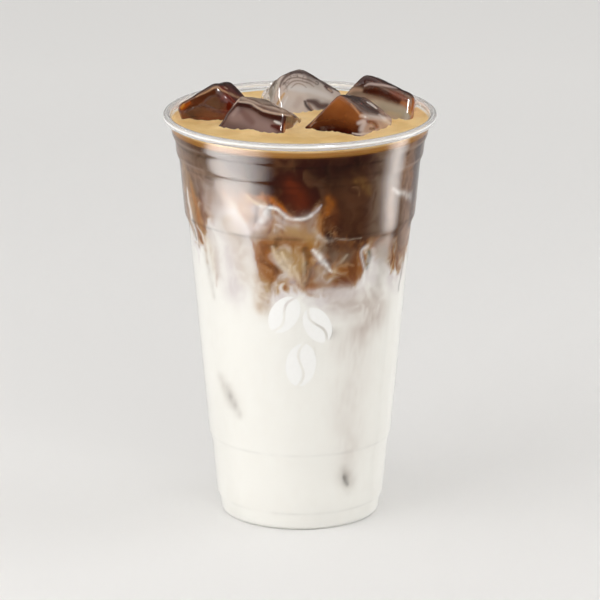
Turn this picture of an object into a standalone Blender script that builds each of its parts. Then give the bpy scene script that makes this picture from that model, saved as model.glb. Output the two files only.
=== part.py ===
"""Iced latte in a clear plastic cup, in metres, standing on Z = 0 with the cup's axis on Z.

The cup is thermoformed, with a raised base panel, four stacking steps and a rolled lip.
Milk fills it from the bottom, coffee lies on the milk and sinks into it in plumes, a thin
crema covers the coffee, and five melting blocks of ice stand out of the crema.
"""

import math

import bmesh
import bpy
import numpy as np
from mathutils import Euler, Vector

MM = 0.001
SEGMENTS = 48  # facets round the cup and the drink
GAP = 0.3 * MM  # left between pieces that touch
MERGE = 0.001 * MM  # points closer than this are one point
FRONT = -90.0  # direction of the cup's front, in degrees round Z

# Cup: the wall's outer radius is a straight draft line plus a smooth step outwards at each ring
WALL = 0.5 * MM
FOOT_RADIUS = 28.77 * MM
DRAFT = 0.0895
PANEL_HEIGHT = 2.4 * MM
PANEL_RADIUS = 24.0 * MM
REST_RADIUS = 25.6 * MM
FOOT_CORNER = 1.5 * MM
FOOT_CORNER_STEPS = 2
LIP_TOP = 149.0 * MM
LIP_RADIUS = 47.75 * MM
LIP_TUBE = 1.35 * MM
LIP_TURN = (180.0, -110.0)  # the lip rolls outwards and stays open underneath
LIP_STEPS = 8
# Name: (height of the step's middle, how far it goes out, how tall it is), in mm
STEPS = {
    "foot": (6.2, 0.95, 3.2),
    "low_ring": (28.9, 0.73, 4.2),
    "high_ring": (110.6, 1.07, 5.2),
    "shoulder": (133.3, 0.87, 4.2),
    "neck": (140.3, 0.90, 3.8),
}
STEP_SAMPLES = (-0.5, -0.2, 0.2, 0.5)  # where a step is cut into facets, in parts of its height
NECK_TOP = (STEPS["neck"][0] + STEPS["neck"][2] / 2) * MM
SLANT = 0.7  # how far the slope inside the resting ring moves out for each unit that it moves up
SHARP = 35.0  # degrees between faces that look like an edge

# Drink
CREMA_TOP = 145.4 * MM
CREMA_DEPTH = 2.2 * MM
MILK_LEVEL = 126.5 * MM
BELOW_PLUMES = 1.2  # the coffee is cut from a block that reaches this share of the deepest plume
BOUNDARY_RADIUS = 41.0 * MM  # the wall's radius about where the boundary meets it
BOUNDARY_RINGS = 6
# Each plume of coffee that sinks along the wall: (degrees round from the front, depth and width)
PLUMES = (
    (27.0, 32.0, 15.0),
    (66.0, 24.0, 11.0),
    (118.0, 15.0, 13.0),
    (165.0, 27.0, 14.0),
    (-148.0, 12.0, 12.0),
    (-104.0, 17.0, 10.0),
    (-62.0, 20.0, 8.0),
)  # degrees, mm, degrees

# Ice: centre, size and crown in mm, turn about X, Y and Z in degrees. taper is how much the top
# face is narrower. crown is a high point on the top face: its place there, and its height.
ICE = {
    "ice_1": dict(
        centre=(-30.2, 9.4, 145.0), size=(21.7, 19.8, 19.0), turn=(-12, -32, -7),
        taper=(0.20, -0.20), crown=(0.0, 0.0, 0.0), edge=2.5,
    ),
    "ice_2": dict(
        centre=(-13.0, -6.5, 139.4), size=(27.3, 23.5, 24.3), turn=(-25, 11, -28),
        taper=(0.25, 0.0), crown=(-0.4, -0.2, 2.4), edge=1.8,
    ),
    "ice_3": dict(
        centre=(-1.0, 17.6, 138.2), size=(26.8, 26.6, 31.0), turn=(-30, 17, 12),
        taper=(0.09, 0.03), crown=(-0.35, -0.6, 4.4), edge=2.5,
    ),
    "ice_4": dict(
        centre=(17.0, -10.1, 141.5), size=(22.3, 20.4, 27.5), turn=(-16, 25, -38),
        taper=(0.36, 0.02), crown=(0.0, 0.0, 0.0), edge=1.8,
    ),
    "ice_5": dict(
        centre=(30.4, 14.0, 144.8), size=(27.5, 20.0, 20.9), turn=(-18, 18, -25),
        taper=(0.24, 0.15), crown=(0.0, 0.0, 0.0), edge=2.5,
    ),
}
ICE_GAP = 0.6 * MM
ICE_TO_WALL = 1.3 * MM  # leaves a strip of crema all round
ICE_BOTTOM = 131.0 * MM  # no block reaches lower
POCKET = 0.45 * MM  # room that the drink leaves round a block of ice
# Blocks that lean on each other are flat where they meet: the second one of a pair gives way,
# by this share of what they would overlap, and the first one by the rest
LEANING = (
    ("ice_2", "ice_4", 0.5),
    ("ice_2", "ice_1", 1.0),
    ("ice_2", "ice_3", 1.0),
    ("ice_4", "ice_3", 1.0),
    ("ice_4", "ice_5", 1.0),
    ("ice_3", "ice_5", 1.0),
    ("ice_3", "ice_1", 1.0),
)
DIRECTIONS = 3000  # tried for the plane between two blocks
ROUND_DETAIL = 2  # facets of a block's round edges
POCKET_DETAIL = 1
HULL_DETAIL = 0.2 * MM  # points of a block that are closer than this are one

# Name: (linear colour with alpha, roughness, how much light goes through)
MATERIALS = {
    "clear_plastic": ((0.93, 0.96, 0.96, 0.3), 0.05, 1.0),
    "milk": ((0.83, 0.80, 0.74, 1.0), 0.25, 0.0),
    "coffee": ((0.055, 0.017, 0.006, 1.0), 0.2, 0.0),
    "crema": ((0.62, 0.41, 0.20, 1.0), 0.35, 0.0),
    "ice": ((0.90, 0.90, 0.88, 0.5), 0.08, 1.0),
}


def clear_scene():
    for thing in list(bpy.data.objects):
        bpy.data.objects.remove(thing)


def material(name):
    colour, roughness, clear = MATERIALS[name]
    made = bpy.data.materials.new(name)
    made.use_nodes = True
    shader = made.node_tree.nodes["Principled BSDF"]
    shader.inputs["Base Color"].default_value = colour
    shader.inputs["Alpha"].default_value = colour[3]
    shader.inputs["Roughness"].default_value = roughness
    shader.inputs["Metallic"].default_value = 0.0
    shader.inputs["Transmission Weight"].default_value = clear
    return made


def add_object(name, bm, look=None):
    bmesh.ops.recalc_face_normals(bm, faces=bm.faces[:])
    mesh = bpy.data.meshes.new(name)
    bm.to_mesh(mesh)
    bm.free()
    made = bpy.data.objects.new(name, mesh)
    bpy.context.scene.collection.objects.link(made)
    if look:
        mesh.materials.append(look)
        mesh.shade_smooth()
        mesh.set_sharp_from_angle(angle=math.radians(SHARP))
    return made


def add_cutter(name, bm):
    cutter = add_object(name, bm)
    cutter.hide_render = True
    cutter.display_type = "WIRE"
    return cutter


def cut(body, cutter, operation):
    made = body.modifiers.new(cutter.name, "BOOLEAN")
    made.operation = operation
    made.object = cutter


def smooth(t):
    t = min(max(t, 0.0), 1.0)
    return t * t * (3.0 - 2.0 * t)


def outer_radius(z):
    """Radius of the cup's outer wall at height z."""
    radius = FOOT_RADIUS + DRAFT * z
    for middle, out, tall in STEPS.values():
        radius += out * MM * smooth((z - middle * MM) / (tall * MM) + 0.5)
    return radius


def wall_heights(top):
    """Heights at which the wall has points: round each step, and at the top."""
    heights = [(middle + tall * part) * MM for middle, _, tall in STEPS.values() for part in STEP_SAMPLES]
    return [z for z in heights if z < top - GAP] + [top]


def arc(centre, radius, first, last, steps):
    angles = [math.radians(first + (last - first) * k / steps) for k in range(steps + 1)]
    return [(centre[0] + radius * math.cos(a), centre[1] + radius * math.sin(a)) for a in angles]


def wall_profile(shift, top):
    """Base and wall from the axis outwards and up, moved into the cup by shift, as (radius, z)."""
    corner = (outer_radius(FOOT_CORNER) - FOOT_CORNER, FOOT_CORNER)
    slant = SLANT * shift
    points = [
        (0.0, PANEL_HEIGHT + shift),
        (PANEL_RADIUS + slant, PANEL_HEIGHT + shift),
        (REST_RADIUS + slant, shift),
    ]
    points += arc(corner, FOOT_CORNER - shift, -90.0, 0.0, FOOT_CORNER_STEPS)
    points += [(outer_radius(z) - shift, z) for z in wall_heights(top)]
    return points


def spin(profile):
    """Turns an open (radius, z) profile, whose ends are on the axis, into a closed body."""
    bm = bmesh.new()
    verts = [bm.verts.new((r, 0.0, z)) for r, z in profile]
    edges = [bm.edges.new(pair) for pair in zip(verts, verts[1:])]
    bmesh.ops.spin(
        bm, geom=verts + edges, cent=(0, 0, 0), axis=(0, 0, 1),
        angle=2 * math.pi, steps=SEGMENTS, use_merge=True,
    )
    bmesh.ops.remove_doubles(bm, verts=bm.verts[:], dist=MERGE)
    return bm


def make_cup(look):
    lip = (LIP_RADIUS, LIP_TOP - LIP_TUBE)
    under = arc(lip, LIP_TUBE - WALL, *LIP_TURN, LIP_STEPS)
    over = arc(lip, LIP_TUBE, *reversed(LIP_TURN), LIP_STEPS)
    outside = wall_profile(0.0, NECK_TOP)
    inside = wall_profile(WALL, NECK_TOP)
    return add_object("cup", spin(outside + under + over + inside[::-1]), look)


def boundary(angle, share):
    """Height between milk and coffee, at an angle round Z and a share of the way to the wall."""
    drop = 0.0
    for place, depth, width in PLUMES:
        away = (math.degrees(angle) - FRONT - place + 180.0) % 360.0 - 180.0
        drop += depth * MM * math.exp(-((away / width) ** 2))
    return MILK_LEVEL - drop * min(share, 1.0) ** 3


def above_boundary(name, lift):
    """Cutter that holds all the space above the milk, wider than the cup."""
    rings = [(BOUNDARY_RADIUS * k / BOUNDARY_RINGS, MILK_LEVEL) for k in range(BOUNDARY_RINGS + 1)]
    bm = spin(rings + [(LIP_RADIUS, MILK_LEVEL), (LIP_RADIUS, LIP_TOP), (0.0, LIP_TOP)])
    for vert in bm.verts:
        if vert.co.z < MILK_LEVEL + MERGE:
            share = math.hypot(vert.co.x, vert.co.y) / BOUNDARY_RADIUS
            vert.co.z = boundary(math.atan2(vert.co.y, vert.co.x), share) + lift
    bmesh.ops.triangulate(bm, faces=bm.faces[:], quad_method="FIXED")
    return add_cutter(name, bm)


def make_milk(look):
    bm = spin(wall_profile(WALL + GAP, MILK_LEVEL) + [(0.0, MILK_LEVEL)])
    milk = add_object("milk", bm, look)
    cut(milk, above_boundary("above_milk", -GAP), "DIFFERENCE")


def make_coffee(look):
    top = CREMA_TOP - CREMA_DEPTH - GAP / 2
    bottom = MILK_LEVEL - BELOW_PLUMES * max(depth for _, depth, _ in PLUMES) * MM
    heights = [bottom] + [z for z in wall_heights(top) if z > bottom]
    side = [(outer_radius(z) - WALL - GAP, z) for z in heights]
    coffee = add_object("coffee", spin([(0.0, bottom)] + side + [(0.0, top)]), look)
    cut(coffee, above_boundary("under_coffee", 0.0), "INTERSECT")
    return coffee


def make_crema(look):
    bottom = CREMA_TOP - CREMA_DEPTH + GAP / 2
    neck = outer_radius(NECK_TOP) - WALL

    def radius(z):
        # above the neck the wall runs straight to the lip
        part = (z - NECK_TOP) / (LIP_TOP - LIP_TUBE - NECK_TOP)
        return neck + (LIP_RADIUS - LIP_TUBE - neck) * part - GAP

    sides = [(radius(z), z) for z in (bottom, CREMA_TOP)]
    return add_object("crema", spin([(0.0, bottom)] + sides + [(0.0, CREMA_TOP)]), look)


def ball(radius, detail):
    """Points of a small ball, for rounding a block's corners."""
    bm = bmesh.new()
    bmesh.ops.create_icosphere(bm, subdivisions=detail, radius=radius)
    points = np.array([vert.co for vert in bm.verts])
    bm.free()
    return points


def swell(points, radius, detail):
    return (points[:, None] + ball(radius, detail)[None]).reshape(-1, 3)


def hull(points):
    """Closed convex body round the points."""
    bm = bmesh.new()
    for point in points:
        bm.verts.new(point)
    bmesh.ops.remove_doubles(bm, verts=bm.verts[:], dist=HULL_DETAIL)
    bmesh.ops.convex_hull(bm, input=bm.verts[:])
    bmesh.ops.delete(bm, geom=[v for v in bm.verts if not v.link_faces], context="VERTS")
    return bm


def corners(centre, size, turn, taper, crown, edge):
    """A block's corners and crown, drawn in by the radius of its edges."""
    half = (np.array(size) / 2 - edge) * MM
    turned = Euler([math.radians(a) for a in turn], "XYZ").to_matrix()
    points = []
    for x, y, z in np.ndindex(2, 2, 2):
        side = np.array((x, y, z)) * 2 - 1
        points.append(side * half * (1 - side[2] * taper[0], 1 - side[2] * taper[1], 1))
    points.append((crown[0] * half[0], crown[1] * half[1], half[2] + crown[2] * MM))
    return np.array([turned @ Vector(p) for p in points]) + np.array(centre) * MM


def directions():
    """Unit vectors spread evenly over a ball, by the golden angle."""
    k = np.arange(DIRECTIONS)
    z = 1 - (2 * k + 1) / DIRECTIONS
    around = k * math.pi * (3 - math.sqrt(5))
    flat = np.sqrt(1 - z * z)
    return np.stack([flat * np.cos(around), flat * np.sin(around), z], 1)


def cut_back(points, direction, reach):
    """What is left of a convex block behind a plane: all points p with p . direction <= reach."""
    bm = hull(points)
    bmesh.ops.bisect_plane(
        bm, geom=bm.verts[:] + bm.edges[:] + bm.faces[:], plane_co=Vector(direction * reach),
        plane_no=Vector(direction), clear_outer=True, dist=MERGE,
    )
    left = np.array([vert.co for vert in bm.verts])
    bm.free()
    return left


def lean(first, second, share):
    """Cuts two blocks flat where they would overlap, along the direction where that is least."""
    tried = directions()
    apart = (second @ tried.T).min(0) - (first @ tried.T).max(0)
    best = tried[int(apart.argmax())]
    missing = ICE_GAP - apart.max()
    if missing <= 0:
        return first, second
    first_reach = (first @ best).max() - missing * (1 - share)
    second_reach = (second @ best).min() + missing * share
    if share < 1:
        first = cut_back(first, best, first_reach)
    return first, cut_back(second, -best, -second_reach)


def inside_wall(points):
    """Moves points that are too near the cup's wall straight in towards its axis."""
    radius = np.hypot(points[:, 0], points[:, 1])
    room = np.array([outer_radius(z) for z in points[:, 2]]) - WALL - ICE_TO_WALL
    points[:, :2] *= np.minimum(1.0, room / radius)[:, None]
    return points


def make_ice(look):
    blocks = {}
    for name, block in ICE.items():
        blocks[name] = inside_wall(swell(corners(**block), block["edge"] * MM, ROUND_DETAIL))
    for first, second, share in LEANING:
        blocks[first], blocks[second] = lean(blocks[first], blocks[second], share)
    down = np.array((0.0, 0.0, -1.0))
    blocks = {name: cut_back(points, down, -ICE_BOTTOM) for name, points in blocks.items()}
    return {name: add_object(name, hull(points), look) for name, points in blocks.items()}


def cut_round_ice(drinks, ice):
    for name, block in ice.items():
        points = np.array([vert.co for vert in block.data.vertices])
        cutter = add_cutter(name + "_pocket", hull(swell(points, POCKET, POCKET_DETAIL)))
        for drink in drinks:
            cut(drink, cutter, "DIFFERENCE")


def main():
    clear_scene()
    looks = {name: material(name) for name in MATERIALS}
    make_cup(looks["clear_plastic"])
    make_milk(looks["milk"])
    drinks = (make_coffee(looks["coffee"]), make_crema(looks["crema"]))
    cut_round_ice(drinks, make_ice(looks["ice"]))


main()
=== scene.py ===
"""Looks of an iced latte in its clear plastic cup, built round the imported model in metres.

The cup becomes a fine turned shell, milk and coffee become one marbled drink that reaches just
into the wall, the crema gets its foam, and the five blocks of ice become clear melting blocks.
"""

import math

import bpy
import numpy as np
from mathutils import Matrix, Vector
from mathutils.bvhtree import BVHTree
from mathutils.geometry import delaunay_2d_cdt


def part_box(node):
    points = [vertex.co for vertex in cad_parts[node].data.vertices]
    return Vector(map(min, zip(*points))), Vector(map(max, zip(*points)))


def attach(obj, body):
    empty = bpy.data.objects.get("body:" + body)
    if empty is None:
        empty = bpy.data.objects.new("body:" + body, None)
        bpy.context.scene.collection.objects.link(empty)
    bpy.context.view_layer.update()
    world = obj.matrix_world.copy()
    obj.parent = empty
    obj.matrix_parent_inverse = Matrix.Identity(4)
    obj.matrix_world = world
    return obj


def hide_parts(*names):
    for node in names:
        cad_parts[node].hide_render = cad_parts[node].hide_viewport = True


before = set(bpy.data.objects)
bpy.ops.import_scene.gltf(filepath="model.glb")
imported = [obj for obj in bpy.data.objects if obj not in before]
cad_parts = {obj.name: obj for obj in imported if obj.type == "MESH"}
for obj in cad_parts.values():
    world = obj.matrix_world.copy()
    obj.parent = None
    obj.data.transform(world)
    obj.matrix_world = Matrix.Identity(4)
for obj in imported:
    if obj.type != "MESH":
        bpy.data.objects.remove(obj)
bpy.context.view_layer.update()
MM = 0.001

# Cup: the wall's outer radius is a straight draft line plus a smooth step outwards at each ring
WALL = 0.5 * MM
FOOT_RADIUS = 28.77 * MM
DRAFT = 0.0895
PANEL_HEIGHT = 2.4 * MM
PANEL_RADIUS = 24.0 * MM
REST_RADIUS = 25.6 * MM
FOOT_CORNER = 1.5 * MM
LIP_TUBE = 1.35 * MM
LIP_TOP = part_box("cup")[1].z
LIP_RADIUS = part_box("cup")[1].x - LIP_TUBE
LIP_FROM = LIP_TOP - 2.02 * LIP_TUBE  # the lip's material is above this height
LIP_TURN = (180.0, -110.0)  # degrees round the tube, from its inner side to its open underside
# Painted highlights of the lip, bright lines round it: (turn round its tube from the outer side,
# width in degrees, strength)
LIP_HIGHLIGHTS = ((14.0, 15.0, 1.0), (-38.0, 10.0, 0.5), (166.0, 18.0, 0.9), (82.0, 8.0, 0.45))
SLANT = 0.7
# Name: (height of the step's middle, how far it goes out, how tall it is), in mm
STEPS = {
    "foot": (6.2, 0.95, 3.2),
    "low_ring": (28.9, 0.73, 4.2),
    "high_ring": (110.6, 1.07, 5.2),
    "shoulder": (133.3, 0.87, 4.2),
    "neck": (140.3, 0.90, 3.8),
}
NECK_TOP = (STEPS["neck"][0] + STEPS["neck"][2] / 2) * MM
CUP_SEGMENTS = 192
STEP_CALM = 0.95  # how much the wall's reflections ignore its steps
STEP_LINE = 0.09  # how much less at the middle of a step, for its fine line
REACH = 0.1 * MM  # how far the drink goes into the wall, so that no air shows between them

# Drink
CREMA_TOP = 145.4 * MM
CREMA_DEPTH = 2.2 * MM
CREMA_BOTTOM = CREMA_TOP - CREMA_DEPTH
DRINK_SEGMENTS = 432
MARBLED_FROM = 84.0 * MM  # the marbling is above this height
FINE_STEP = 0.5 * MM
LOW_SMUDGE = (13.5 * MM, 23.5 * MM)  # heights round the block of ice that shows near the foot
SMUDGE_STEP = 0.8 * MM
BEDS_FROM = 120.0 * MM  # the beds of the ice are above this height
WALL_RADIUS = 41.0  # mm: the marbling's drawing plane is the wall unrolled at this radius

# Ice
ICE_NODES = ("ice_1", "ice_2", "ice_3", "ice_4", "ice_5")
PALE_BLOCK = "ice_3"  # the clear one, behind
ICE_VOXEL = 0.4 * MM
BED_VOXEL = 0.9 * MM
ICE_IN_DRINK = 0.15 * MM  # how far the drink goes into the ice
ICE_LOW = 145.5  # mm: the blocks' lower colours are at this height
FACE_SHARPNESS = 16.0  # how soon one face's colour gives way to the next one's
ICE_MARK_STEPS = 5
ICE_MARK_SHARPNESS = 3

# Camera, as in the photograph
CAMERA_PLACE = (0.0, -1.50805, 0.51921)
CAMERA_PITCH = 16.2917
CAMERA_LENS = 259.94
CAMERA_SENSOR = 36.0
PICTURE = 600  # the photograph's size in pixels, each way


def linear(red, green, blue):
    """A colour named by its display values, 0 to 255, as linear light."""
    values = np.array((red, green, blue)) / 255
    low = values / 12.92
    high = ((values + 0.055) / 1.055) ** 2.4
    return np.where(values <= 0.04045, low, high)


def smoothstep(t):
    t = np.clip(t, 0.0, 1.0)
    return t * t * (3.0 - 2.0 * t)


def bell(values, reach):
    """1 where a value is 0, and less the further it is from there."""
    return np.exp(-((values / reach) ** 2))


def blended(first, second, share):
    """From first to second, rows of three numbers or one such row, by a share for each row."""
    share = share[:, None]
    return first * (1 - share) + second * share


def wrapped(degrees):
    return (np.asarray(degrees) + 180.0) % 360.0 - 180.0


def in_picture(points):
    """Where points are in the photograph, in pixels across and down."""
    pitch = math.radians(CAMERA_PITCH)
    ahead = np.array((0.0, math.cos(pitch), -math.sin(pitch)))
    up = np.array((0.0, math.sin(pitch), math.cos(pitch)))
    away = points - np.array(CAMERA_PLACE)
    scale = CAMERA_LENS / CAMERA_SENSOR * PICTURE / (away @ ahead)
    return np.stack([PICTURE / 2 + away[:, 0] * scale, PICTURE / 2 - (away @ up) * scale], 1)


def noise(points, size, seed):
    """Smooth noise from about -1 to 1 at points (n, 3), with one bump about every size."""
    rng = np.random.default_rng(seed)
    table = rng.permutation(256)
    slopes = rng.normal(size=(256, 3))
    slopes /= np.linalg.norm(slopes, axis=1)[:, None]
    scaled = np.asarray(points) / size
    cell = np.floor(scaled).astype(int)
    part = scaled - cell
    eased = part**3 * (part * (part * 6 - 15) + 10)
    total = np.zeros(len(scaled))
    for corner in np.ndindex(2, 2, 2):
        place = (cell + corner) & 255
        pick = table[(table[(table[place[:, 0]] + place[:, 1]) & 255] + place[:, 2]) & 255]
        weight = np.where(np.array(corner) == 1, eased, 1 - eased).prod(1)
        total += weight * (slopes[pick] * (part - corner)).sum(1)
    return total * 1.6


def fractal(points, size, seed, octaves):
    """Noise with finer noise of half the strength on it, and so on."""
    return sum(0.5**k * noise(points, size / 2**k, seed + k) for k in range(octaves))


def smooth_line(points, steps):
    """A Catmull-Rom curve through the points."""
    points = np.array(points, float)
    padded = np.vstack([2 * points[0] - points[1], points, 2 * points[-1] - points[-2]])
    t = (np.arange(steps) / steps)[:, None]
    parts = []
    for a, b, c, d in zip(padded, padded[1:], padded[2:], padded[3:]):
        bend = (2 * a - 5 * b + 4 * c - d) * t**2 + (3 * b - a - 3 * c + d) * t**3
        parts.append(0.5 * (2 * b + (c - a) * t + bend))
    return np.vstack(parts + [points[-1:]])


def line_cover(place, line, sharpness):
    """How much a line of points (x, y, half width) covers places (x, y): 1 on it, less beside it."""
    best = np.zeros(len(place))
    for first, second in zip(line, line[1:]):
        a, b = first[:2], second[:2]
        t = np.clip(((place - a) @ (b - a)) / max(((b - a) ** 2).sum(), 1e-9), 0, 1)
        width = first[2] + (second[2] - first[2]) * t
        away = np.linalg.norm(place - (a + t[:, None] * (b - a)), axis=1)
        best = np.maximum(best, np.exp(-((away / width) ** sharpness)))
    return best


def outer_radius(z):
    """Radius of the cup's outer wall at height z, a number or an array."""
    radius = FOOT_RADIUS + DRAFT * z
    for middle, out, tall in STEPS.values():
        radius = radius + out * MM * smoothstep((z - middle * MM) / (tall * MM) + 0.5)
    return radius


def inner_radius(z):
    """Radius of the cup's inner face, also above the neck, where it runs straight to the lip."""
    neck = outer_radius(NECK_TOP) - WALL
    part = np.clip((z - NECK_TOP) / (LIP_TOP - LIP_TUBE - NECK_TOP), 0.0, 1.0)
    return np.where(z < NECK_TOP, outer_radius(z) - WALL, neck + (LIP_RADIUS - LIP_TUBE - neck) * part)


def arc(centre, radius, first, last, steps):
    angles = np.radians(np.linspace(first, last, steps + 1))
    return [(centre[0] + radius * math.cos(a), centre[1] + radius * math.sin(a)) for a in angles]


def wall_heights(bottom, top):
    """Heights from bottom to top, close together round each step of the wall."""
    heights = list(np.arange(bottom, top, 3.0 * MM))
    for middle, _, tall in STEPS.values():
        heights += list(np.linspace(middle - 0.6 * tall, middle + 0.6 * tall, 13) * MM)
    heights = sorted(z for z in heights if bottom < z < top - 0.2 * MM)
    kept = [bottom]
    for z in heights:
        if z - kept[-1] > 0.15 * MM:
            kept.append(z)
    return kept + [top]


def base_profile(shift):
    """Base of the cup from its axis to the end of the foot's corner, moved inwards by shift."""
    corner = (float(outer_radius(FOOT_CORNER)) - FOOT_CORNER, FOOT_CORNER)
    slant = SLANT * shift
    points = [(0.0, PANEL_HEIGHT + shift), (PANEL_RADIUS * 0.5, PANEL_HEIGHT + shift)]
    points += [(PANEL_RADIUS + slant, PANEL_HEIGHT + shift), (REST_RADIUS + slant, shift)]
    return points + arc(corner, FOOT_CORNER - shift, -90.0, 0.0, 8)


def put_in_scene(name, data):
    made = bpy.data.objects.new(name, data)
    bpy.context.scene.collection.objects.link(made)
    return made


def add_mesh(name, verts, faces, look, body="root"):
    mesh = bpy.data.meshes.new(name)
    mesh.from_pydata([tuple(v) for v in verts], [], [tuple(f) for f in faces])
    mesh.update()
    made = put_in_scene(name, mesh)
    if look:
        mesh.materials.append(look)
    mesh.shade_smooth()
    if body:
        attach(made, body)
    return made


def turned(name, profile, segments, look=None):
    """Turns an open (radius, z) profile, whose ends are on the axis, into a closed body."""
    inner = profile[1:-1]
    angles = np.arange(segments) * 2 * math.pi / segments
    verts = [(0.0, 0.0, profile[0][1]), (0.0, 0.0, profile[-1][1])]
    for radius, z in inner:
        verts += [(radius * math.cos(a), radius * math.sin(a), z) for a in angles]
    faces = []
    rows = len(inner)
    for k in range(segments):
        after = (k + 1) % segments
        faces.append((0, 2 + after, 2 + k))
        for row in range(rows - 1):
            low = 2 + row * segments
            faces.append((low + k, low + after, low + segments + after, low + segments + k))
        top = 2 + (rows - 1) * segments
        faces.append((1, top + k, top + after))
    return add_mesh(name, verts, faces, look)


def vertex_values(mesh, name):
    """What each vertex has under a name, "co" or "normal", as an array (n, 3)."""
    values = np.empty(len(mesh.vertices) * 3)
    mesh.vertices.foreach_get(name, values)
    return values.reshape(-1, 3)


def set_coordinates(mesh, points):
    mesh.vertices.foreach_set("co", points.astype(np.float32).ravel())
    mesh.update()


def set_normals(mesh, out):
    mesh.normals_split_custom_set_from_vertices([tuple(n) for n in out])


def set_colours(mesh, name, colours):
    """Writes a linear colour for each vertex, which the material reads by name."""
    layer = mesh.attributes.new(name, "FLOAT_COLOR", "POINT")
    whole = np.concatenate([colours, np.ones((len(colours), 1))], 1)
    layer.data.foreach_set("color", whole.astype(np.float32).ravel())


def remesh(obj, voxel):
    made = obj.modifiers.new("remesh", "REMESH")
    made.mode = "VOXEL"
    made.voxel_size = voxel


def applied(obj):
    """Replaces an object's mesh by what its modifiers make of it."""
    graph = bpy.context.evaluated_depsgraph_get()
    mesh = bpy.data.meshes.new_from_object(obj.evaluated_get(graph))
    obj.modifiers.clear()
    obj.data = mesh
    mesh.materials.clear()
    mesh.polygons.foreach_set("material_index", [0] * len(mesh.polygons))
    mesh.shade_smooth()
    return mesh


# Materials


def new_material(name):
    made = bpy.data.materials.new(name)
    made.use_nodes = True
    return made, made.node_tree


def fill_inputs(tree, node, inputs):
    """Links or sets a node's inputs, each named or numbered: sockets are linked, values are set."""
    for name, value in inputs.items():
        socket = node.inputs[name]
        if isinstance(value, bpy.types.NodeSocket):
            tree.links.new(value, socket)
        elif socket.type == "RGBA":
            socket.default_value = (*value, 1.0)
        else:
            socket.default_value = value


def add_node(tree, kind, inputs, output=0, **settings):
    """Adds a node and returns one of its outputs."""
    node = tree.nodes.new("ShaderNode" + kind)
    for name, value in settings.items():
        setattr(node, name, value)
    fill_inputs(tree, node, inputs)
    return node.outputs[output]


def noise_node(tree, scale, detail, stretch=(1, 1, 1)):
    """Noise over the object's own coordinates, in metres, with scale bumps in each metre."""
    place = add_node(tree, "TexCoord", {}, "Object")
    stretched = add_node(tree, "Mapping", {"Vector": place, "Scale": stretch})
    return add_node(tree, "TexNoise", {"Vector": stretched, "Scale": scale, "Detail": detail}, "Fac")


def range_node(tree, value, low, high, to_low, to_high, ease="LINEAR"):
    ends = {"From Min": low, "From Max": high, "To Min": to_low, "To Max": to_high}
    return add_node(tree, "MapRange", {"Value": value, **ends}, "Result", interpolation_type=ease)


def mix_colour(tree, share, first, second, blend="MIX"):
    inputs = {0: share, 6: first, 7: second}
    return add_node(tree, "Mix", inputs, 2, data_type="RGBA", blend_type=blend)


def bump_node(tree, height, distance, strength):
    return add_node(tree, "Bump", {"Height": height, "Distance": distance, "Strength": strength})


def attribute_node(tree, name, output="Color"):
    return add_node(tree, "Attribute", {}, output, attribute_name=name)


def finished(made, inputs, clear=False, tint=(1.0, 1.0, 1.0)):
    """Fills a material's surface inputs. A clear one lets lamps shine straight through it, tinted."""
    tree = made.node_tree
    surface = tree.nodes["Principled BSDF"]
    fill_inputs(tree, surface, inputs)
    if clear:
        to_lamp = add_node(tree, "LightPath", {}, "Is Shadow Ray")
        through = add_node(tree, "BsdfTransparent", {"Color": tint})
        both = add_node(tree, "MixShader", {0: to_lamp, 1: surface.outputs["BSDF"], 2: through})
        fill_inputs(tree, tree.nodes["Material Output"], {"Surface": both})
    return made


def plastic_material():
    made, tree = new_material("clear_plastic")
    cloud = noise_node(tree, 60.0, 2.0, (1, 1, 0.25))
    inputs = {
        "Base Color": (0.975, 0.985, 0.985),
        "Transmission Weight": 1.0,
        "IOR": 1.45,
        "Roughness": range_node(tree, cloud, 0.3, 0.7, 0.05, 0.12),
        "Normal": bump_node(tree, cloud, 0.25 * MM, 0.5),
    }
    return finished(made, inputs, clear=True)


def lip_material():
    made, tree = new_material("lip_painted_highlights")
    cloud = noise_node(tree, 300.0, 2.0)
    # Painted highlights: the lip is whiter and less clear along its bright lines
    line = attribute_node(tree, "lip_highlight", "Fac")
    inputs = {
        "Base Color": mix_colour(tree, line, (0.78, 0.77, 0.76), (0.97, 0.97, 0.965)),
        "Transmission Weight": range_node(tree, line, 0.0, 1.0, 0.8, 0.1),
        "IOR": 1.48,
        "Roughness": range_node(tree, cloud, 0.3, 0.7, 0.08, 0.16),
    }
    return finished(made, inputs, clear=True)


def drink_material():
    made, tree = new_material("marbled_drink")
    colour = attribute_node(tree, "drink_colour")
    wisps = noise_node(tree, 420.0, 4.0, (1, 1, 0.4))
    darker = mix_colour(tree, 1.0, colour, (0.90, 0.87, 0.84), "MULTIPLY")
    share = range_node(tree, wisps, 0.42, 0.72, 0.0, 0.16)
    inputs = {
        "Base Color": mix_colour(tree, share, colour, darker),
        "Roughness": 0.6,
        "Specular IOR Level": 0.05,
    }
    return finished(made, inputs)


def crema_material():
    made, tree = new_material("crema")
    colour = attribute_node(tree, "crema_colour")
    clouds = noise_node(tree, 130.0, 4.0)
    fine = noise_node(tree, 2600.0, 2.0)
    pale = mix_colour(tree, 1.0, colour, (1.10, 1.12, 1.18), "MULTIPLY")
    share = range_node(tree, clouds, 0.42, 0.66, 0.0, 0.8)
    inputs = {
        "Base Color": mix_colour(tree, share, colour, pale),
        "Roughness": range_node(tree, fine, 0.3, 0.7, 0.35, 0.6),
        "Normal": bump_node(tree, fine, 0.12 * MM, 0.6),
        "Specular IOR Level": 0.35,
    }
    return finished(made, inputs)


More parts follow.
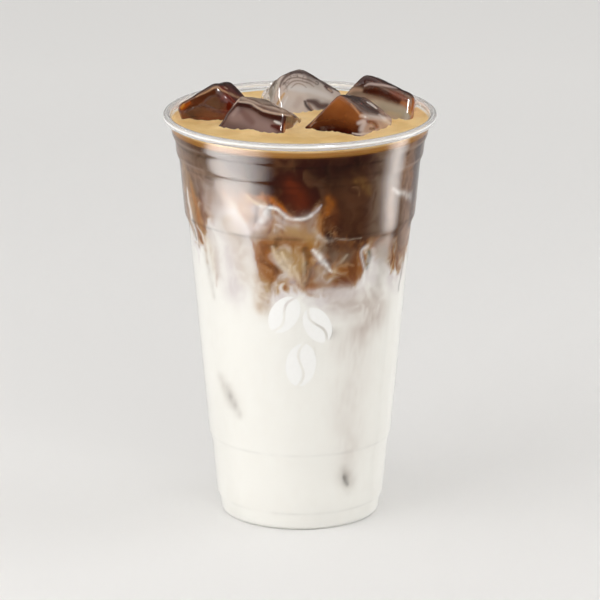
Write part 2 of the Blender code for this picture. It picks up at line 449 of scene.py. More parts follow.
def ice_material():
    made, tree = new_material("ice")
    waves = noise_node(tree, 210.0, 2.0)
    inputs = {
        # The ice's colours, with its painted glints, sheen and highlights
        "Base Color": attribute_node(tree, "ice_colour_and_glints"),
        "Roughness": range_node(tree, waves, 0.35, 0.7, 0.01, 0.07),
        "Normal": bump_node(tree, waves, 0.5 * MM, 0.6),
        "Transmission Weight": 0.4,
        "IOR": 1.31,
        "Coat Weight": 0.7,
        "Coat Roughness": 0.03,
    }
    return finished(made, inputs, clear=True, tint=(0.85, 0.80, 0.76))


def ink_material():
    made, tree = new_material("print_ink")
    grain = noise_node(tree, 900.0, 3.0)
    inputs = {
        "Base Color": mix_colour(tree, grain, linear(244, 243, 240), linear(250, 250, 248)),
        "Roughness": range_node(tree, grain, 0.3, 0.7, 0.35, 0.5),
    }
    return finished(made, inputs, clear=True)


def floor_material():
    made, tree = new_material("pale_floor")
    cloud = noise_node(tree, 4.0, 3.0)
    colour = mix_colour(tree, cloud, (0.78, 0.775, 0.765), (0.80, 0.795, 0.785))
    return finished(made, {"Base Color": colour, "Roughness": 0.8})


# Cup


def make_cup():
    lip = (LIP_RADIUS, LIP_TOP - LIP_TUBE)
    heights = wall_heights(FOOT_CORNER, NECK_TOP)[1:]
    outside = base_profile(0.0) + [(float(outer_radius(z)), z) for z in heights]
    under = arc(lip, LIP_TUBE - WALL, *LIP_TURN, 22)
    over = arc(lip, LIP_TUBE, *reversed(LIP_TURN), 26)
    inside = base_profile(WALL) + [(float(outer_radius(z)) - WALL, z) for z in heights]
    shell = turned("cup_shell", outside + under + over + inside[::-1], CUP_SEGMENTS, plastic_material())
    mesh = shell.data
    mesh.materials.append(lip_material())
    for face in mesh.polygons:
        if face.center.z > LIP_FROM:
            face.material_index = 1
    # Painted highlights of the lip, kept on its vertices for its material
    set_colours(mesh, "lip_highlight", lip_highlights(vertex_values(mesh, "co")))
    soften_steps(mesh)
    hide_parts("cup")


def lip_highlights(points):
    """Painted highlights of the lip's tube at points on it: bright lines that run round the cup."""
    outwards = np.hypot(points[:, 0], points[:, 1]) - LIP_RADIUS
    turn = np.degrees(np.arctan2(points[:, 2] - LIP_TOP + LIP_TUBE, outwards))
    level = np.zeros(len(points))
    for middle, wide, strength in LIP_HIGHLIGHTS:
        level = np.maximum(level, strength * bell(wrapped(turn - middle), wide))
    return np.repeat(level[:, None], 3, 1)


def soften_steps(mesh):
    """Makes the wall's reflections waver at its steps instead of leaping there."""
    points = vertex_values(mesh, "co")
    out = vertex_values(mesh, "normal")
    slope = draft_normals(points)
    facing_in = (out * slope).sum(1) < 0
    slope[facing_in] *= -1
    on_wall = (points[:, 2] > FOOT_CORNER + 0.1 * MM) & (points[:, 2] < NECK_TOP + 0.5 * MM)
    calm = np.full(len(points), STEP_CALM)
    for middle, _, _ in STEPS.values():
        calm -= STEP_LINE * bell(points[:, 2] / MM - middle, 0.5)
    out[on_wall] = blended(out[on_wall], slope[on_wall], calm[on_wall])
    out /= np.linalg.norm(out, axis=1)[:, None]
    set_normals(mesh, out)


def draft_normals(points):
    """Outward directions of the plain draft cone at points on the wall."""
    radius = np.maximum(np.hypot(points[:, 0], points[:, 1]), MM)
    slope = np.stack([points[:, 0] / radius, points[:, 1] / radius, np.full(len(points), -DRAFT)], 1)
    return slope / np.linalg.norm(slope, axis=1)[:, None]


# Ice


def melted_block(name, look):
    """The CAD block with fine rounded edges and the shallow hollows of melting ice."""
    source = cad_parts[name].data
    block = put_in_scene("clear_" + name, source.copy())
    block.data.materials.clear()
    remesh(block, ICE_VOXEL)
    relax = block.modifiers.new("relax", "SMOOTH")
    relax.factor = 0.5
    relax.iterations = 50
    mesh = applied(block)
    points = vertex_values(mesh, "co")
    seed = 10 * int(name[-1])
    relief = 0.2 + 0.3 * fractal(points, 9.0 * MM, seed, 2) + 0.08 * noise(points, 3.2 * MM, seed + 5)
    set_coordinates(mesh, points + vertex_values(mesh, "normal") * (relief * MM)[:, None])
    mesh.materials.append(look)
    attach(block, "root")
    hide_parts(name)
    return block


# Colours of each block's faces by their display values, the coffee seen through them and on some a
# painted sheen and highlight: (outward direction, low down, high up)
ICE_FACES_AND_SHEEN = {
    "ice_1": (
        ((-0.12, -0.99, 0.0), (126, 64, 30), (82, 40, 22)),
        ((0.71, -0.04, 0.71), (84, 22, 10), (122, 36, 15)),
        ((0.74, -0.53, -0.42), (96, 28, 12), (96, 28, 12)),
        ((-0.49, 0.27, 0.83), (96, 58, 38), (66, 34, 24)),
        ((-0.70, 0.27, 0.66), (196, 116, 44), (150, 84, 36)),
        ((0.10, 0.20, 0.96), (60, 30, 22), (60, 30, 22)),
    ),
    "ice_2": (
        ((-0.35, -0.84, 0.41), (128, 104, 98), (98, 70, 62)),
        ((-0.74, 0.52, 0.43), (84, 44, 32), (104, 70, 56)),
        ((0.46, 0.33, 0.82), (150, 110, 88), (190, 162, 144)),
        ((0.23, 0.04, 0.97), (196, 168, 150), (196, 168, 150)),
        ((-0.16, 0.49, 0.86), (150, 120, 104), (150, 120, 104)),
        ((0.55, -0.75, 0.35), (112, 44, 22), (74, 28, 16)),
    ),
    "ice_3": (
        ((0.33, -0.81, 0.49), (240, 222, 210), (228, 210, 200)),
        ((-0.92, -0.16, 0.35), (226, 214, 200), (206, 190, 176)),
        ((-0.44, 0.32, 0.84), (190, 166, 150), (150, 116, 98)),
        ((0.42, 0.58, 0.70), (96, 46, 30), (70, 32, 22)),
        ((0.04, 0.75, 0.66), (110, 66, 48), (76, 38, 28)),
        ((0.84, 0.48, 0.25), (130, 76, 50), (100, 50, 34)),
    ),
    "ice_4": (
        ((-0.55, -0.77, 0.32), (66, 22, 11), (168, 100, 50)),
        ((-0.62, 0.40, 0.67), (120, 72, 44), (150, 92, 54)),
        ((0.49, -0.03, 0.87), (208, 182, 168), (66, 28, 19)),
        ((0.70, -0.60, 0.10), (206, 180, 170), (116, 50, 30)),
        ((0.70, -0.22, 0.68), (214, 190, 178), (150, 110, 92)),
    ),
    "ice_5": (
        ((-0.26, -0.87, 0.42), (206, 186, 162), (64, 22, 12)),
        ((-0.69, 0.43, 0.58), (140, 110, 92), (84, 54, 42)),
        ((0.27, 0.19, 0.94), (60, 32, 24), (54, 30, 23)),
        ((0.49, 0.36, 0.79), (120, 60, 28), (84, 42, 24)),
        ((0.99, -0.10, 0.0), (196, 118, 46), (120, 52, 22)),
    ),
}
# Painted highlight along the melted edges
EDGE_HIGHLIGHT = (214, 186, 164)  # light caught in the melted edges
DARK_TINT = (58, 24, 15)
# Coffee seen in the clear block: (across, height, reach in mm, strength)
ICE_STAINS = (
    (7.5, 151.0, 3.8, 1.0), (10.5, 148.0, 3.4, 1.0), (6.0, 156.6, 2.6, 0.8),
    (-3.0, 160.5, 2.4, 0.7),
)

# What the front of each block shows, the coffee seen through it with painted glints, sheen and
# highlights among it: (colour, strength, line of points), where each point is (across, down, half
# width) in the photograph's pixels
ICE_MARKS_AND_GLINTS = {
    "ice_1": (
        ((82, 44, 27), 0.9, ((192, 108, 9), (206, 102, 9), (222, 102, 9))),
        ((56, 27, 19), 0.95, ((192, 96, 2.2), (206, 88, 2.2), (222, 83, 3.2), (232, 84, 4.4),
            (240, 91, 3.6))),
        ((112, 30, 11), 0.9, ((223, 97, 3.4), (230, 101, 5.0), (227, 111, 5.0))),
        ((74, 17, 9), 0.8, ((218.5, 94, 1.2), (220, 104, 2.0), (219.5, 114, 1.6))),
        ((172, 78, 20), 0.9, ((189, 103, 1.8), (185, 106, 2.4), (182, 108, 2.2))),
        ((222, 146, 48), 0.9, ((183.5, 105, 1.2), (181.5, 107.5, 1.3))),
        ((48, 24, 16), 0.7, ((186, 112, 1.0), (191, 115, 1.6), (197, 118, 1.2))),
        ((124, 56, 26), 0.7, ((197, 118, 1.4), (210, 119.5, 2.0), (223, 117, 1.6))),
        ((204, 166, 130), 0.85, ((196, 97, 0.5), (208, 91, 0.9), (216, 87, 1.1), (223, 90.5, 1.0),
            (231, 94, 1.3), (239, 98, 1.0))),
        ((228, 206, 184), 0.8, ((225, 87, 0.6), (227.4, 88.6, 0.6))),
    ),
    "ice_2": (
        ((172, 144, 138), 0.92, ((234, 117, 7), (246, 118, 9), (260, 124, 9), (270, 129, 7))),
        ((124, 88, 82), 0.6, ((242, 112, 2.6), (247, 117, 4.0), (252, 122, 3.6))),
        ((200, 176, 170), 0.5, ((233, 115, 2.0), (237, 109, 2.6))),
        ((196, 168, 146), 0.9, ((243, 97.5, 3.4), (262, 101.5, 4.2), (280, 107.5, 4.2),
            (292, 112.5, 3.4))),
        ((118, 80, 60), 0.75, ((247, 98.6, 0.5), (255, 100.2, 0.9), (262, 104.4, 0.9),
            (272, 105.6, 0.8), (282, 109.6, 0.5))),
        ((132, 92, 70), 0.6, ((262, 100.4, 0.5), (271, 102.4, 0.8), (280, 106.6, 0.6))),
        ((58, 20, 14), 0.95, ((238, 104.5, 1.8), (247, 106, 2.2), (256, 110, 2.4), (266, 114.4, 2.6),
            (278, 117.6, 3.4), (289, 119, 3.6))),
        ((78, 36, 27), 0.9, ((221.5, 125, 1.3), (228, 114, 1.6), (237, 104.5, 1.5))),
        ((230, 200, 180), 0.85, ((221, 122, 0.6), (229, 109.6, 0.8), (239, 99.4, 0.8))),
        ((234, 210, 190), 0.9, ((239, 101.4, 0.8), (249, 103, 0.9), (258, 108, 1.0),
            (270, 112.4, 1.0), (284, 114.6, 0.9), (291, 116, 0.7))),
        ((92, 27, 13), 0.9, ((272, 126, 2.0), (279, 128, 3.8), (285, 130, 3.2))),
        ((255, 253, 249), 1.0, ((274.5, 121, 0.8), (277.5, 122.6, 1.3), (280.5, 124.4, 0.8))),
        ((204, 122, 78), 0.85, ((284, 124, 0.6), (284.2, 129, 0.9), (284.6, 133, 0.7))),
        ((150, 82, 40), 0.8, ((287.6, 124, 1.0), (288.4, 128, 1.6), (288, 132, 1.2))),
        ((68, 29, 20), 0.85, ((289, 119, 1.6), (293, 122, 2.2))),
        ((248, 240, 230), 0.9, ((297.5, 121, 0.8), (295.5, 124.6, 1.4), (293.6, 128, 0.9))),
    ),
    "ice_3": (
        ((238, 226, 216), 0.9, ((286, 102, 11), (300, 96, 16), (318, 94, 14), (334, 98, 9))),
        ((252, 248, 244), 0.7, ((290, 88, 2.4), (302, 89.4, 3.2), (318, 93, 3.2), (331, 98, 2.4))),
        ((210, 186, 174), 0.5, ((296, 106, 3.4), (300, 99, 4.0))),
        ((222, 212, 194), 0.6, ((268, 98, 3.4), (274, 90, 3.4), (279, 84, 2.4))),
        ((92, 60, 46), 0.85, ((279, 89, 0.8), (281.5, 82, 1.3), (286, 76.4, 1.5), (291, 73.4, 1.4))),
        ((64, 33, 25), 0.95, ((291, 73, 1.4), (299, 71.6, 2.4), (308, 73.6, 2.5), (316, 77.6, 2.4),
            (326, 84, 2.0), (335, 89, 1.2), (342, 92, 0.8))),
        ((126, 100, 86), 0.8, ((283, 85, 0.5), (288, 79.6, 0.8), (297, 77.4, 0.9), (307, 79.4, 0.8),
            (316, 84, 0.5))),
        ((138, 112, 98), 0.75, ((286, 88, 0.4), (291, 82.4, 0.7), (299, 80.6, 0.8), (308, 83, 0.7),
            (314, 87, 0.4))),
        ((150, 124, 108), 0.7, ((291, 88, 0.4), (296, 84, 0.7), (302, 84.4, 0.7), (306, 88, 0.4))),
        ((66, 42, 35), 0.85, ((315.4, 82, 0.5), (317.8, 82.4, 0.6), (317.6, 84.8, 0.5),
            (315.4, 84.4, 0.5))),
        ((88, 34, 20), 0.95, ((325, 86, 1.2), (328, 88.4, 2.0), (332, 92, 1.4))),
        ((238, 208, 182), 0.85, ((328.4, 88.4, 0.6), (331.4, 91.4, 0.7))),
        ((218, 170, 98), 0.85, ((284.6, 93, 0.9), (281, 98.4, 1.5), (277.4, 104, 1.2))),
        ((252, 247, 242), 0.85, ((288, 96, 0.6), (285, 102, 1.1), (283, 106.6, 0.8))),
        ((66, 34, 25), 0.95, ((305, 101, 1.2), (307, 106, 2.0), (312, 112, 1.8))),
        ((88, 50, 37), 0.95, ((308, 100.6, 2.0), (314, 102.4, 3.4), (320, 106, 3.6),
            (327, 105.4, 2.4))),
        ((160, 122, 102), 0.85, ((308.6, 103.6, 0.6), (311, 108, 1.0), (314.4, 112.4, 0.7))),
        ((112, 78, 60), 0.8, ((271, 106, 0.5), (277, 108, 0.8), (284, 109.6, 0.5))),
        ((124, 90, 70), 0.7, ((270, 109.4, 0.5), (277, 111, 0.8), (284, 112.4, 0.5))),
    ),
    "ice_4": (
        ((166, 100, 50), 0.4, ((341, 97, 2.6), (345, 102, 3.4), (347, 108, 3.0))),
        ((56, 17, 10), 0.85, ((312, 129, 1.6), (326, 130, 3.0), (338, 131, 3.4), (350, 132.4, 2.4))),
        ((54, 27, 20), 0.95, ((345, 95.4, 2.0), (354, 97.6, 3.6), (363, 102, 4.4), (371, 107.6, 4.4),
            (377, 112.6, 2.8))),
        ((96, 66, 54), 0.65, ((352, 103, 1.4), (357, 107.4, 2.4), (361, 111, 1.8))),
        ((208, 192, 180), 0.95, ((361, 115.6, 1.6), (371, 116.6, 2.6), (381, 118.4, 2.8),
            (389, 123, 2.2))),
        ((230, 218, 210), 0.8, ((379, 114.6, 0.9), (385, 118.6, 1.6), (390, 123, 1.2))),
        ((222, 209, 206), 0.9, ((359, 123, 2.2), (364, 122, 3.0), (361, 130, 2.6))),
        ((112, 42, 22), 0.9, ((368, 121.4, 1.6), (374, 123.4, 2.6), (377, 127, 2.2))),
        ((92, 31, 17), 0.8, ((370, 129, 1.4), (374, 128.6, 1.4))),
        ((248, 241, 236), 0.9, ((352.6, 133.4, 0.6), (360, 134.2, 1.0), (368.4, 133.4, 0.7))),
        ((255, 251, 245), 1.0, ((367.4, 101.6, 0.7), (372, 105.2, 1.3), (376, 108.8, 0.8))),
        ((200, 142, 92), 0.8, ((311, 125.4, 0.6), (320, 111.8, 0.9), (329, 100.4, 0.9),
            (338, 94.6, 0.6))),
        ((214, 160, 110), 0.6, ((351, 104, 0.6), (356, 110, 0.9), (361, 116, 0.7))),
    ),
    "ice_5": (
        ((192, 182, 160), 0.9, ((372, 104, 4.4), (384, 106, 5.0), (396, 110, 5.0), (408, 114, 4.0))),
        ((60, 19, 10), 0.96, ((364, 91, 2.6), (376, 92, 5.0), (388, 96, 5.4), (398, 101, 4.4))),
        ((114, 48, 26), 0.85, ((391, 91.6, 2.0), (399, 95.4, 3.4), (406, 100, 3.0))),
        ((172, 100, 42), 0.85, ((402, 103, 2.0), (408, 106, 2.8), (411, 111, 2.4))),
        ((212, 148, 68), 0.8, ((408, 109, 1.2), (411, 114, 1.4))),
        ((196, 162, 136), 0.85, ((347, 92, 1.8), (354, 89.4, 2.6), (361, 90, 2.0))),
        ((138, 104, 88), 0.85, ((350, 87, 1.2), (357, 83.4, 1.6))),
        ((66, 33, 27), 0.95, ((355, 82, 1.6), (366, 77.6, 2.2), (378, 79.6, 2.3), (393, 85.8, 2.2),
            (408, 92.4, 1.8))),
        ((202, 184, 178), 0.9, ((364.6, 86, 0.7), (370, 83.8, 1.2), (383, 84.8, 1.3), (397, 88, 0.8))),
        ((212, 192, 154), 0.6, ((388, 113, 1.6), (400, 115, 2.4))),
    ),
}


def paint_block_with_glints(block, name):
    """Paints what a block shows through its faces, since coffee stands round and behind it, with painted
    glints and sheen.
    """
    points = vertex_values(block.data, "co")
    out = vertex_values(block.data, "normal")
    mm = points / MM
    low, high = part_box(name)
    ripple = fractal(mm, 7.0, 77, 3)
    swirl = np.stack([ripple, -ripple, ripple], 1)
    upwards = np.clip((mm[:, 2] - ICE_LOW + 2.0 * ripple) / (high.z / MM - ICE_LOW - 1.5), 0.0, 1.0)
    # Face colours by the way each face points, with a painted sheen and highlight on some
    faces = ICE_FACES_AND_SHEEN[name]
    weights = np.stack([np.exp(FACE_SHARPNESS * (out @ np.array(face[0]) - 1.0)) for face in faces], 1)
    weights /= weights.sum(1)[:, None]
    colours = np.zeros_like(points)
    for weight, (_, lower, upper) in zip(weights.T, faces):
        colours += weight[:, None] * blended(linear(*lower), linear(*upper), upwards)
    lines = bell(fractal(mm + 3.0 * swirl, 5.0, 87, 2), 0.07)
    wavy = 0.55 * lines * smoothstep((out[:, 2] - 0.45) / 0.3)
    if name == PALE_BLOCK:
        wavy = 0.75 * lines * smoothstep((mm[:, 2] - 150.0) / 4.0)
        middle = (low.x + high.x) / 2 / MM
        for across, level, reach, strength in ICE_STAINS:
            away = np.hypot(mm[:, 0] - middle - across, mm[:, 2] - level) + 2.0 * ripple
            wavy = np.maximum(wavy, strength * (1 - smoothstep(away / reach - 0.4)))
    colours = blended(colours, linear(*DARK_TINT), wavy)
    # Painted highlight, pale where one face gives way to the next
    ordered = np.sort(weights, 1)
    at_edge = np.clip(1.0 - (ordered[:, -1] - ordered[:, -2]) * 1.6, 0.0, 1.0) ** 2
    share = 0.5 * at_edge * smoothstep(0.6 + fractal(mm, 5.0, 97, 2))
    colours = blended(colours, linear(*EDGE_HIGHLIGHT), share)
    pitch = math.radians(CAMERA_PITCH)
    to_front = smoothstep((out @ np.array((0.0, -math.cos(pitch), math.sin(pitch))) + 0.1) / 0.25)
    place = in_picture(points) + np.stack([0.7 * ripple, -0.7 * ripple], 1)
    # Marks on the front, painted glints, sheen and highlights among them
    for ink, strength, line in ICE_MARKS_AND_GLINTS[name]:
        cover = line_cover(place, smooth_line(line, ICE_MARK_STEPS), ICE_MARK_SHARPNESS)
        colours = blended(colours, linear(*ink), strength * cover * to_front)
    set_colours(block.data, "ice_colour_and_glints", np.clip(colours, 0.0, 1.0))


def make_ice():
    look = ice_material()
    blocks = {}
    for name in ICE_NODES:
        blocks[name] = melted_block(name, look)
        paint_block_with_glints(blocks[name], name)
    return blocks


def ice_cutters(blocks):
    """Copies of the blocks, a little smaller, that cut their beds out of the drink."""
    cutters = []
    for name, block in blocks.items():
        cutter = put_in_scene("bed_" + name, block.data.copy())
        cutter.data.attributes.remove(cutter.data.attributes["ice_colour_and_glints"])
        remesh(cutter, BED_VOXEL)
        mesh = applied(cutter)
        set_coordinates(mesh, vertex_values(mesh, "co") - vertex_values(mesh, "normal") * ICE_IN_DRINK)
        cutters.append(cutter)
    return cutters


def cut_beds(piece, cutters):
    for cutter in cutters:
        bed = piece.modifiers.new(cutter.name, "BOOLEAN")
        bed.operation = "DIFFERENCE"
        bed.solver = "MANIFOLD"
        bed.object = cutter
    return applied(piece)


# Marbling: colours by their display values
INK = {
    "milk": (250, 248, 243),
    "white": (254, 253, 251),
    "lilac": (226, 218, 217),
    "cream": (232, 218, 190),
    "beige": (214, 197, 175),
    "veil": (206, 193, 184),
    "grey": (196, 188, 180),
    "fog": (168, 148, 134),
    "smudge": (140, 135, 128),
    "shadow": (90, 82, 74),
    "green_grey": (84, 88, 76),
    "pinkish": (174, 138, 112),
    "mocha": (158, 124, 100),
    "tan": (186, 148, 106),
    "khaki": (186, 154, 104),
    "grey_brown": (128, 104, 86),
    "gold": (186, 138, 70),
    "caramel": (164, 106, 54),
    "orange": (196, 112, 34),
    "amber": (158, 98, 44),
    "lobe": (126, 74, 38),
    "brown": (88, 54, 32),
    "red_brown": (112, 44, 16),
    "coffee": (60, 24, 13),
    "dark": (34, 15, 9),
}
INK = {name: linear(*values) for name, values in INK.items()}

# Heights in mm, round the cup, of the dark coffee's lower edge and of the brown mixture's:
# (degrees round from the front, coffee's edge, mixture's edge)
EDGES = (
    (-180, 118, 104), (-165, 123, 110), (-148, 117, 100), (-134, 125, 112), (-118, 121, 104),
    (-104, 112, 94), (-92, 121, 104), (-80, 124, 110), (-68, 124, 104), (-62, 122, 104), (-56, 124, 110),
    (-49, 127, 118), (-35, 128, 121), (-26, 129, 118), (-22, 128.6, 98), (-18, 128.2, 88), (-13, 127, 92),
    (-9, 125.4, 94), (-5, 123, 93), (-1, 121.6, 92), (3, 122.6, 92), (7, 125.2, 92), (11, 125.6, 92),
    (15, 119, 91), (20, 114, 91), (26, 111, 91), (32, 110, 92), (37, 112, 101), (42, 113, 101),
    (50, 110, 100), (58, 107, 96), (66, 107, 93), (74, 112, 97), (84, 121, 106), (98, 123, 108),
    (112, 114, 98), (124, 117, 102), (140, 124, 112), (158, 111, 92), (168, 112, 95), (180, 118, 104),
)

